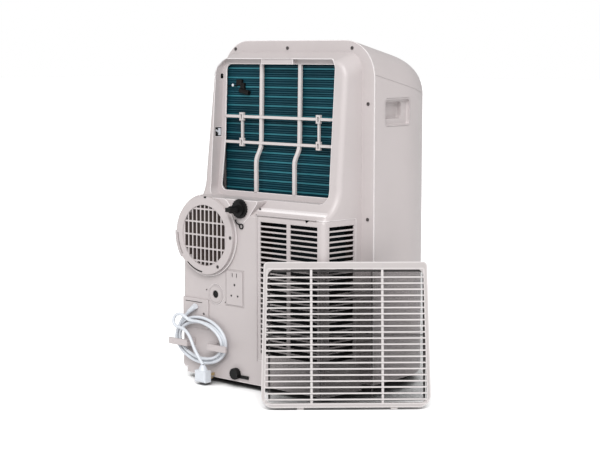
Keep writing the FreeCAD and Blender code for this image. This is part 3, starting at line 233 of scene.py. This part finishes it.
def edge_highlight_finish(name, look, reach, highlight_colour):
    """The finish of a moulding whose outer edges and thin bars are painted paler, a painted highlight where
    they would catch the light; reach is how much plastic, in millimetres, is enough for the plain colour."""
    material = finish(name, **look)
    tree = material.node_tree
    shader = tree.nodes["Principled BSDF"]
    flat = shader.inputs["Base Color"].links[0].from_socket
    solid = tree.nodes.new("ShaderNodeAmbientOcclusion")
    solid.inside = True
    solid.only_local = True
    solid.samples = 8
    solid.inputs["Distance"].default_value = reach * MM
    mix = colour_mix(tree, spread(tree, solid.outputs["AO"], 0.0, 1.0, 0.95, 0.75))
    wire(tree, flat, mix.inputs[FIRST])
    mix.inputs[SECOND].default_value = (*highlight_colour, 1)
    wire(tree, mix.outputs[MIXED], shader.inputs["Base Color"])
    return material


# Painted highlights: the rear shell's outer edges and the filter grille's thin bars are painted these paler
# colours.
EDGE_HIGHLIGHT = (0.78, 0.74, 0.74)
SLAT_HIGHLIGHT = (0.54, 0.51, 0.505)
# The coil guard's bars: the shell plastic painted lighter, as a painted highlight.
BAR_HIGHLIGHT_COLOUR = (0.55, 0.505, 0.50)
# Painted shade on the sides of the exhaust guard's ribs.
RIB_SIDE_SHADE = (0.085, 0.066, 0.060)


def dress_nodes():
    """One material for each slot of the record, and four of their own for single mouldings."""
    made = {slot: finish(slot, **look) for slot, look in LOOKS.items()}
    made["display_glass"] = glass("display_glass", (0.010, 0.010, 0.013))
    for row in frame["record"]["subparts"]:
        thing = nodes[row["node"]]
        thing.data.materials.clear()
        thing.data.materials.append(made[row["material_slot"]])
    shell = LOOKS["shell_plastic"]
    # Painted light: the rear shell's edges and the filter grille's bars get painted highlights, the coil
    # guard's bars are painted lighter as a highlight, and the exhaust guard's rib sides get painted shade.
    own = {"rear_shell": edge_highlight_finish("rear_plastic_edge_highlight", shell, 1.7, EDGE_HIGHLIGHT),
           "filter_grille": edge_highlight_finish("slat_plastic_highlight", LOOKS["grille_plastic"], 3.4, SLAT_HIGHLIGHT),
           "coil_guard": finish("bar_plastic_highlight", **dict(shell, colour=BAR_HIGHLIGHT_COLOUR)),
           "exhaust_guard": rib_side_shade_finish("guard_plastic_side_shade", dict(shell, soft=0.6), RIB_SIDE_SHADE)}
    for node, material in own.items():
        nodes[node].data.materials[0] = material
    return made


# ---------------------------------------------------------------- making pieces

def add_box(form, low, high, turn=None):
    """One box between two corners in millimetres, optionally carried by a matrix."""
    corners = [(x, y, z) for x in (low[0], high[0]) for y in (low[1], high[1]) for z in (low[2], high[2])]
    made = []
    for corner in corners:
        point = Vector(corner)
        if turn:
            point = turn @ point
        made.append(form.verts.new(point * MM))
    for face in ((0, 1, 3, 2), (4, 6, 7, 5), (0, 4, 5, 1), (2, 3, 7, 6), (0, 2, 6, 4), (1, 5, 7, 3)):
        form.faces.new([made[n] for n in face])


def add_rod(form, start, end, radius, sides=12, tip=None):
    """A round rod between two points in millimetres; tip is its radius at the far end."""
    start = Vector(start)
    along = Vector(end) - start
    turn = Matrix.Translation((start + along / 2) * MM) @ along.to_track_quat("Z", "Y").to_matrix().to_4x4()
    bmesh.ops.create_cone(form, cap_ends=True, segments=sides, radius1=radius * MM,
                          radius2=(radius if tip is None else tip) * MM, depth=along.length * MM, matrix=turn)


def add_ball(form, middle, radii):
    scale = Matrix.Diagonal((*[r * MM for r in radii], 1))
    bmesh.ops.create_uvsphere(form, u_segments=16, v_segments=10, radius=1,
                              matrix=Matrix.Translation(Vector(middle) * MM) @ scale)


def piece(name, form, material, body=HOUSING, stands_for=(), smooth=False, edge=0.0):
    mesh = bpy.data.meshes.new(name)
    bmesh.ops.recalc_face_normals(form, faces=form.faces[:])
    form.to_mesh(mesh)
    form.free()
    if smooth:
        mesh.shade_smooth()
    mesh.materials.append(material)
    thing = bpy.data.objects.new(name, mesh)
    collection.objects.link(thing)
    if edge:
        bevel = thing.modifiers.new("edge", "BEVEL")
        bevel.width = edge * MM
        bevel.segments = 2
        bevel.limit_method = "ANGLE"
    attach(thing, body)
    if stands_for:
        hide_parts(*stands_for)
    return thing


# ---------------------------------------------------------------- upper coil

FIN_PITCH = 1.9
FIN_THICK = 0.32
FIN_SHIFT = 0.12
FIN_LEAN = 0.25
ROW_PITCH = 20.2
ROW_HALF = 1.7
ROW_SAG = 0.5
FIRST_ROW = 424
END_PLATE = 1.5
TUBE_RADIUS = 3.6
# Creases pressed into the fins between two rows: height above the row and half their own height.
CREASES = ((5.2, 0.5), (10.1, 0.8), (15.0, 0.5))


def upper_coil():
    """Thin upright fins between two end plates, with rows of tube collars and creases across them."""
    low, high = in_mm("evaporator_coil")
    left, right = low.x + 9, high.x - 9
    random.seed(4)
    fins = bmesh.new()
    count = int((right - left) / FIN_PITCH)
    for n in range(count + 1):
        x = left + n * FIN_PITCH + random.uniform(-FIN_SHIFT, FIN_SHIFT)
        lean = random.uniform(-FIN_LEAN, FIN_LEAN)
        add_box(fins, (x, low.y + 1, low.z + 2), (x + FIN_THICK, high.y - 1 - abs(lean), high.z - 2))
    back = finish("fin_foil", (0.010, 0.062, 0.092), 0.40, metal=0.2, soft=0.0, dirt=0.3,
                  grain=260.0, streak=(1, 1, 0.08), shine=0.25)
    piece("upper_coil_fins", fins, back, stands_for=["evaporator_coil"])
    core = bmesh.new()
    add_box(core, (left, low.y + 4, low.z + 3), (right, high.y - 6, high.z - 3))
    for end in (left - END_PLATE, right):
        add_box(core, (end, low.y, low.z), (end + END_PLATE, high.y, high.z))
    # A dark block inside the fins, painted shade for the depth between them.
    depth_shade = finish("fin_depth_shade", (0.003, 0.012, 0.016), 0.6, soft=0.0, dirt=0.2)
    piece("upper_coil_core", core, depth_shade)
    rows = bmesh.new()
    creases = bmesh.new()
    z = FIRST_ROW
    while z < high.z - 8:
        for lift, half in CREASES:
            level = z + lift
            if level < high.z - 4:
                add_box(creases, (left, high.y - 4, level - half), (right, high.y - 0.7, level + half))
        level = z + random.uniform(-ROW_SAG, ROW_SAG)
        add_box(rows, (left, high.y - 5, level - ROW_HALF), (right, high.y - 0.4, level + ROW_HALF))
        add_rod(rows, (low.x + 4, high.y - 12, z), (high.x - 4, high.y - 12, z), TUBE_RADIUS)
        z += ROW_PITCH
    # The collar rows and creases are the fin foil painted lighter, as painted highlights.
    collar_highlight = finish("fin_collars_highlight", (0.026, 0.170, 0.210), 0.35, metal=0.2, soft=0.0, dirt=0.45,
                    grain=700.0, shine=0.3)
    piece("upper_coil_rows", rows, collar_highlight)
    crease_highlight = finish("fin_creases_highlight", (0.014, 0.085, 0.115), 0.45, soft=0.0, dirt=0.6, grain=500.0, shine=0.2)
    piece("upper_coil_creases", creases, crease_highlight)


def coil_sensor(made):
    """Thermistor in its black clip on the fins, with the wire that leads to it."""
    out = in_mm("coil_sensor")[0].y + 3
    clip = bmesh.new()
    add_box(clip, (131, out - 3, 650), (147, out + 3.5, 662))
    add_box(clip, (124, out - 3, 640), (136, out + 2.5, 655))
    add_rod(clip, (110, out + 1, 633), (137, out + 1, 639), 5.6, 18)
    add_rod(clip, (147, out, 648), (183, out - 1, 647), 1.3, 10)
    piece("sensor_clip", clip, made["sensor_plastic"], stands_for=["coil_sensor"], edge=0.7)
    dot = bmesh.new()
    add_ball(dot, (160, out + 0.5, 649.5), (3.2, 2.2, 3.4))
    piece("sensor_tie", dot, made["cord_jacket"], smooth=True)


# ---------------------------------------------------------------- filter net

GRILLE_FOOT = Vector((-236, 196, -0.4))
GRILLE_YAW = math.radians(42.4)
GRILLE_LEAN = math.radians(8)
NET_LOW = Vector((-162.5, 2.0, 17))
NET_HIGH = Vector((158.1, 4.0, 283.5))
NET_PITCH = 1.8
STRAND = 0.26
NET_RIM = 4.5
RIB_HALF = 1.2
RIB_PLACES = (0.34, 0.67)


def grille_matrix():
    turn = Matrix.Rotation(GRILLE_YAW, 4, "Z") @ Matrix.Rotation(GRILLE_LEAN, 4, "X")
    return Matrix.Translation(GRILLE_FOOT) @ turn


def filter_net(made):
    """Woven net in its moulded frame, with a seam at half height and two upright ribs."""
    stand = grille_matrix()
    low, high = NET_LOW, NET_HIGH
    inner_low = low + Vector((NET_RIM, 0.4, NET_RIM))
    inner_high = high - Vector((NET_RIM, 0.4, NET_RIM))
    frame_form = bmesh.new()
    for corner, other in (((low.x, low.y, low.z), (high.x, high.y, inner_low.z)),
                          ((low.x, low.y, inner_high.z), (high.x, high.y, high.z)),
                          ((low.x, low.y, inner_low.z), (inner_low.x, high.y, inner_high.z)),
                          ((inner_high.x, low.y, inner_low.z), (high.x, high.y, inner_high.z))):
        add_box(frame_form, corner, other, stand)
    middle = (low.z + high.z) / 2
    add_box(frame_form, (inner_low.x, inner_low.y, middle - RIB_HALF),
            (inner_high.x, inner_high.y, middle + RIB_HALF), stand)
    for share in RIB_PLACES:
        x = low.x + (high.x - low.x) * share
        add_box(frame_form, (x - RIB_HALF, inner_low.y, inner_low.z),
                (x + RIB_HALF, inner_high.y, inner_high.z), stand)
    piece("net_frame", frame_form, made["filter_mesh"], body="filter_net",
          stands_for=["filter_net"])
    net = bmesh.new()
    level = (low.y + high.y) / 2
    x = inner_low.x
    while x < inner_high.x:
        add_box(net, (x, level - STRAND, low.z + 2), (x + 2 * STRAND, level + STRAND, high.z - 2), stand)
        x += NET_PITCH
    z = inner_low.z
    while z < inner_high.z:
        add_box(net, (low.x + 2, level, z), (high.x - 2, level + 1.6 * STRAND, z + 2 * STRAND), stand)
        z += NET_PITCH
    # The threads are near black: a dark net, darkened further as painted shade for the shaded space behind
    # the leaning grille.
    thread = finish("net_thread", (0.010, 0.009, 0.009), 0.9, soft=0.0, dirt=0.3, shine=0.0)
    piece("net_threads", net, thread, body="filter_net")


# Each corner of the grille's opening: where it is, and which way the opening lies from it.
OPENING_CORNERS = ((-165.0, 13.0, 1, 1), (165.0, 13.0, -1, 1),
                   (-158.5, 285.0, 1, -1), (158.5, 285.0, -1, -1))
WEB_RADIUS = 15.0
WEB_BACK = 7.2
WEB_FRONT = 11.9
WEB_STEPS = 6


def grille_corners(made):
    """Small webs that round off the four corners of the grille's opening."""
    stand = grille_matrix()
    webs = bmesh.new()
    for x, z, inward, up in OPENING_CORNERS:
        outline = [(x - inward, z + WEB_RADIUS * up), (x - inward, z - up), (x + WEB_RADIUS * inward, z - up)]
        for step in range(WEB_STEPS + 1):
            angle = math.radians(90 * step / WEB_STEPS)
            outline.append((x + WEB_RADIUS * inward * (1 - math.sin(angle)),
                            z + WEB_RADIUS * up * (1 - math.cos(angle))))
        sides = [[webs.verts.new(stand @ Vector((px, y, pz)) * MM) for px, pz in outline]
                 for y in (WEB_BACK, WEB_FRONT)]
        for ring in sides:
            webs.faces.new(ring)
        for n in range(len(outline)):
            webs.faces.new((sides[0][n - 1], sides[0][n], sides[1][n], sides[1][n - 1]))
    piece("grille_corners", webs, made["grille_plastic"], body="filter_grille")


# ---------------------------------------------------------------- small things on the back

def back_face():
    return in_mm("cord_cover")[0].y


def add_arc(form, middle, radii, depths, start, end, steps=14):
    """A bar of square section bent round a level axis, between two angles in degrees from +X."""
    corners = ((radii[0], depths[0]), (radii[1], depths[0]), (radii[1], depths[1]), (radii[0], depths[1]))
    rings = []
    for n in range(steps + 1):
        angle = math.radians(start + (end - start) * n / steps)
        rings.append([form.verts.new(Vector((middle.x + reach * math.cos(angle), y,
                                             middle.z + reach * math.sin(angle))) * MM)
                      for reach, y in corners])
    for one, two in zip(rings, rings[1:]):
        for n in range(4):
            form.faces.new((one[n], one[(n + 1) % 4], two[(n + 1) % 4], two[n]))
    form.faces.new(rings[0])
    form.faces.new(rings[-1][::-1])


def exhaust_details(made):
    """The bayonet lip beside the ring, and black pieces as painted shade deep in the ring's notch and bayonet
    slot.
    """
    low, high = in_mm("exhaust_collar")
    middle = (low + high) / 2
    radius = (high.x - low.x) / 2
    lip = bmesh.new()
    add_arc(lip, middle, (radius - 1, radius + 5.5), (high.y - 7, high.y - 1.5), -36, 3)
    piece("bayonet_lip", lip, made["shell_plastic"])
    depth_shade = bmesh.new()
    add_box(depth_shade, (middle.x - 6.8, high.y - 6.8, middle.z + radius - 3.8),
            (middle.x + 0.8, high.y - 0.8, middle.z + radius - 0.6))
    add_arc(depth_shade, middle, (radius - 5.8, radius - 2.7), (high.y - 8, high.y - 0.8), -84.5, -50.5)
    piece("ring_depth_shade", depth_shade, made["black_rubber"])


def recessed_screw(form, x, y, z, radius):
    """A pan head with a cross slot, seen straight on from the back."""
    add_rod(form, (x, y, z), (x, y + 0.9, z), radius, 20, tip=radius * 0.82)
    for wide, high in ((radius * 1.2, 0.5), (0.5, radius * 1.2)):
        add_box(form, (x - wide / 2, y + 0.9, z - high / 2), (x + wide / 2, y + 1.25, z + high / 2))


# Small screws of the rear plates: place, distance out of the lower box's face, and radius.
PLATE_SCREWS = ((158, 0, 204, 1.6), (101, 0, 182, 1.6), (166, 1, 149, 2.4), (10, -13, 391, 2.8))


def back_screws(made):
    face = back_face()
    screws = bmesh.new()
    for x, out, z, radius in PLATE_SCREWS:
        recessed_screw(screws, x, face + out, z, radius)
    piece("plate_screws", screws, made["screw_steel"])


PORT_BORE = 8.5
# The parking plate's holes: half the spacing of the flat blades and of the round pins.
BLADE_OFFSET = 6.35
PIN_OFFSET = 9.5


def port_bore_shade(made):
    """Black disc with a small knob just inside the mouth of the hose port, painted shade for its dark bore.
    """
    low, high = in_mm("hose_port")
    middle = (low + high) / 2
    shade_disc = bmesh.new()
    seat = high.y - 1.6
    add_rod(shade_disc, (middle.x, high.y - 3, middle.z), (middle.x, seat, middle.z), PORT_BORE - 0.05, 28)
    add_rod(shade_disc, (middle.x, seat, middle.z), (middle.x, seat + 1, middle.z), 3.2, 16, tip=2.2)
    piece("port_shade_disc", shade_disc, made["black_rubber"])


def parking_holes(made):
    """Black pieces at the bottoms of the plug parking plate's blind holes and of the cord cover's slot,
    painted shade for their dark insides.
    """
    low, high = in_mm("plug_parking_plate")
    x = (low.x + high.x) / 2
    z = (low.z + high.z) / 2
    floor = low.y + 0.15
    hole_shade = bmesh.new()
    top = floor + 0.5
    for side in (-1, 1):
        blade = x + side * BLADE_OFFSET
        pin = x + side * PIN_OFFSET
        add_box(hole_shade, (blade - 1, floor, z + 24.4), (blade + 1, top, z + 32))
        add_rod(hole_shade, (pin, floor, z - 17), (pin, top, z - 17), 2.3, 16)
    add_rod(hole_shade, (x, floor, z + 7), (x, top, z + 7), 2.6, 16)
    cover = in_mm("cord_cover")[1]
    add_box(hole_shade, (cover.x - 59, cover.y - 1, cover.z - 9), (cover.x - 7, cover.y - 0.6, cover.z - 7.4))
    piece("parking_hole_shade", hole_shade, made["black_rubber"])


# Black pads behind the recess's openings, painted shade for the dark behind them: each pad's lower and upper
# end, and how far out it reaches.
SHADE_PADS = ((414, 452, 142), (532, 562, 142), (660, 679, 128))


def latch_clip(made):
    """The white spring latch inside the square opening of the coil recess, and black pads behind the
    openings, painted shade.
    """
    clip = bmesh.new()
    add_box(clip, (185.5, 121, 539), (188, 128, 555))
    tilt = Matrix.Translation((186, 130, 547)) @ Matrix.Rotation(math.radians(35), 4, "X")
    add_box(clip, (-1, -7, -1.6), (1.5, 7, 1.6), tilt)
    piece("latch_clip", clip, made["cord_jacket"], edge=0.4)
    shade_pads = bmesh.new()
    for z_low, z_high, out in SHADE_PADS:
        add_box(shade_pads, (188.6, 108, z_low), (190.2, out, z_high))
    piece("recess_shade_pads", shade_pads, made["black_rubber"])


BORDER_GAP = 3.2


def plate_outlines(made):
    """Raised borders moulded around the plug parking plate and beside the lower intake grille."""
    face = back_face()
    root = face - 0.3
    lines = bmesh.new()
    low, high = in_mm("plug_parking_plate")
    x0, z0, x1, z1 = low.x - BORDER_GAP, low.z - BORDER_GAP, high.x + BORDER_GAP, high.z + BORDER_GAP
    for a, b in (((x0, z0), (x1, z0 + 1)), ((x0, z1 - 1), (x1, z1)), ((x0, z0), (x0 + 1, z1)),
                 ((x1 - 1, z0), (x1, z1))):
        add_box(lines, (a[0], root, a[1]), (b[0], face + 0.7, b[1]))
    low, high = in_mm("lower_intake_grille")
    far = (high.x + BORDER_GAP, face + 1.6, high.z + 4)
    add_box(lines, (high.x + 0.6, root, low.z - 2), far)
    add_box(lines, (low.x + 30, root, high.z + 1.2), far)
    piece("moulded_borders", lines, made["shell_plastic"], edge=0.4)


# ---------------------------------------------------------------- mains cord

CORD_DIAMETER = 7 * MM
LEAD = [(206, 206.5, 150), (221, 207, 137), (235, 209, 115), (240, 211, 97)]
COIL_MIDDLE = (165, 92)
COIL_TILT = math.radians(5)
# Each loose turn at its start: half width, half height and place along +Y.
TURNS = [(76, 50, 211.5), (77, 51, 204), (66, 38, 210), (72, 45, 217)]
POINTS_PER_TURN = 14
FIRST_ANGLE = -18
LAST_ANGLE = -1018
TAIL = [(205, 218.5, 142), (219, 219.5, 147), (234, 221, 142), (239, 222.5, 128), (231, 223.5, 118),
        (216, 224.5, 117), (200, 225.5, 115), (186, 227, 106), (176, 228, 93), (168, 229, 79),
        (158, 229.5, 66), (148, 229.5, 54), (140, 229, 44)]


def between(start, end, share):
    return start + (end - start) * share


def coil_points():
    """The loose turns, each easing into the next, clockwise as seen with +X to the right."""
    points = []
    start_angle = math.radians(FIRST_ANGLE)
    end_angle = math.radians(LAST_ANGLE)
    count = round((start_angle - end_angle) / (2 * math.pi) * POINTS_PER_TURN)
    for n in range(count + 1):
        angle = start_angle + (end_angle - start_angle) * n / count
        turn = -angle / (2 * math.pi)
        whole = min(int(turn), len(TURNS) - 2)
        share = turn - whole
        wide, high, out = [between(a, b, share) for a, b in zip(TURNS[whole], TURNS[whole + 1])]
        across = wide * math.cos(angle)
        up = high * math.sin(angle)
        points.append((COIL_MIDDLE[0] + across * math.cos(COIL_TILT) - up * math.sin(COIL_TILT), out,
                       COIL_MIDDLE[1] + across * math.sin(COIL_TILT) + up * math.cos(COIL_TILT)))
    return points


def make_cord(jacket):
    curve = bpy.data.curves.new("mains_cord", "CURVE")
    curve.dimensions = "3D"
    curve.bevel_depth = CORD_DIAMETER / 2
    curve.bevel_resolution = 5
    curve.resolution_u = 8
    route = [Vector(p) * MM for p in LEAD + coil_points() + TAIL]
    spline = curve.splines.new("NURBS")
    spline.points.add(len(route) - 1)
    for point, place in zip(spline.points, route):
        point.co = (*place, 1)
    spline.order_u = 3
    spline.use_endpoint_u = True
    cord = bpy.data.objects.new("mains_cord", curve)
    collection.objects.link(cord)
    cord.data.materials.append(jacket)
    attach(cord, HOUSING)
    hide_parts("cord_lead", "cord_coil", "cord_tail")


# ---------------------------------------------------------------- studio

# The floor glows for the camera alone, except where the object shades it, so that it looks like the white of
# a sheet of paper; in deep shade its colour is painted darker too, as painted shade.
FLOOR_GLOW = 0.35
SHADE_REACH = 0.35
FLOOR_HALF = 30
WHITE = (1, 1, 1, 1)
SKY_LIGHT = 0.60
SUN_POWER = 2.2
SUN_SPREAD = math.radians(38)
SUN_PLACE = (-1.05, 1.75, 2.15)
PANEL_SIZE = 0.9
PANEL_POWER = 9
PANEL_PLACE = (-1.5, 1.3, 1.5)
LIT_POINT = Vector((0, 0.1, 0.4))


def paper_finish():
    paper = finish("floor", (0.97, 0.97, 0.97), 0.9, soft=0.0, dirt=0.01, depth=0.0)
    tree = paper.node_tree
    shader = tree.nodes["Principled BSDF"]
    shader.inputs["Emission Color"].default_value = WHITE
    direct = tree.nodes.new("ShaderNodeLightPath")
    nearby = tree.nodes.new("ShaderNodeAmbientOcclusion")
    nearby.samples = 8
    nearby.inputs["Distance"].default_value = SHADE_REACH
    painted_floor_shade = spread(tree, nearby.outputs["AO"], 0.15, 0.97, 0.18, 0.36)
    wire(tree, painted_floor_shade, shader.inputs["Base Color"])
    open_share = spread(tree, nearby.outputs["AO"], 0.0, FLOOR_GLOW, 0.35, 0.6)
    glow = tree.nodes.new("ShaderNodeMath")
    glow.operation = "MULTIPLY"
    wire(tree, open_share, glow.inputs[0])
    wire(tree, direct.outputs["Is Camera Ray"], glow.inputs[1])
    wire(tree, glow.outputs["Value"], shader.inputs["Emission Strength"])
    return paper


def make_floor():
    form = bmesh.new()
    bmesh.ops.create_grid(form, x_segments=1, y_segments=1, size=FLOOR_HALF)
    mesh = bpy.data.meshes.new("floor")
    form.to_mesh(mesh)
    form.free()
    mesh.materials.append(paper_finish())
    floor = bpy.data.objects.new("floor", mesh)
    collection.objects.link(floor)


def make_world():
    """White all round, at full strength for the camera and dimmer as a light."""
    world = bpy.data.worlds.new("studio")
    bpy.context.scene.world = world
    world.use_nodes = True
    tree = world.node_tree
    background = tree.nodes["Background"]
    background.inputs["Color"].default_value = WHITE
    seen = tree.nodes.new("ShaderNodeLightPath")
    strength = spread(tree, seen.outputs["Is Camera Ray"], SKY_LIGHT, 1.0)
    wire(tree, strength, background.inputs["Strength"])


def make_studio():
    make_floor()
    make_world()
    bpy.context.scene.view_settings.view_transform = "Standard"
    sun = bpy.data.lights.new("key", "SUN")
    sun.energy = SUN_POWER
    sun.angle = SUN_SPREAD
    panel = bpy.data.lights.new("panel", "AREA")
    panel.size = PANEL_SIZE
    panel.energy = PANEL_POWER
    for lamp, spot in ((sun, SUN_PLACE), (panel, PANEL_PLACE)):
        thing = bpy.data.objects.new(lamp.name, lamp)
        collection.objects.link(thing)
        thing.location = spot
        thing.rotation_euler = (LIT_POINT - Vector(spot)).to_track_quat("-Z", "Y").to_euler()


make_camera()
materials = dress_nodes()
upper_coil()
coil_sensor(materials)
filter_net(materials)
grille_corners(materials)
exhaust_details(materials)
back_screws(materials)
port_bore_shade(materials)
parking_holes(materials)
latch_clip(materials)
plate_outlines(materials)
make_cord(materials["cord_jacket"])
make_studio()
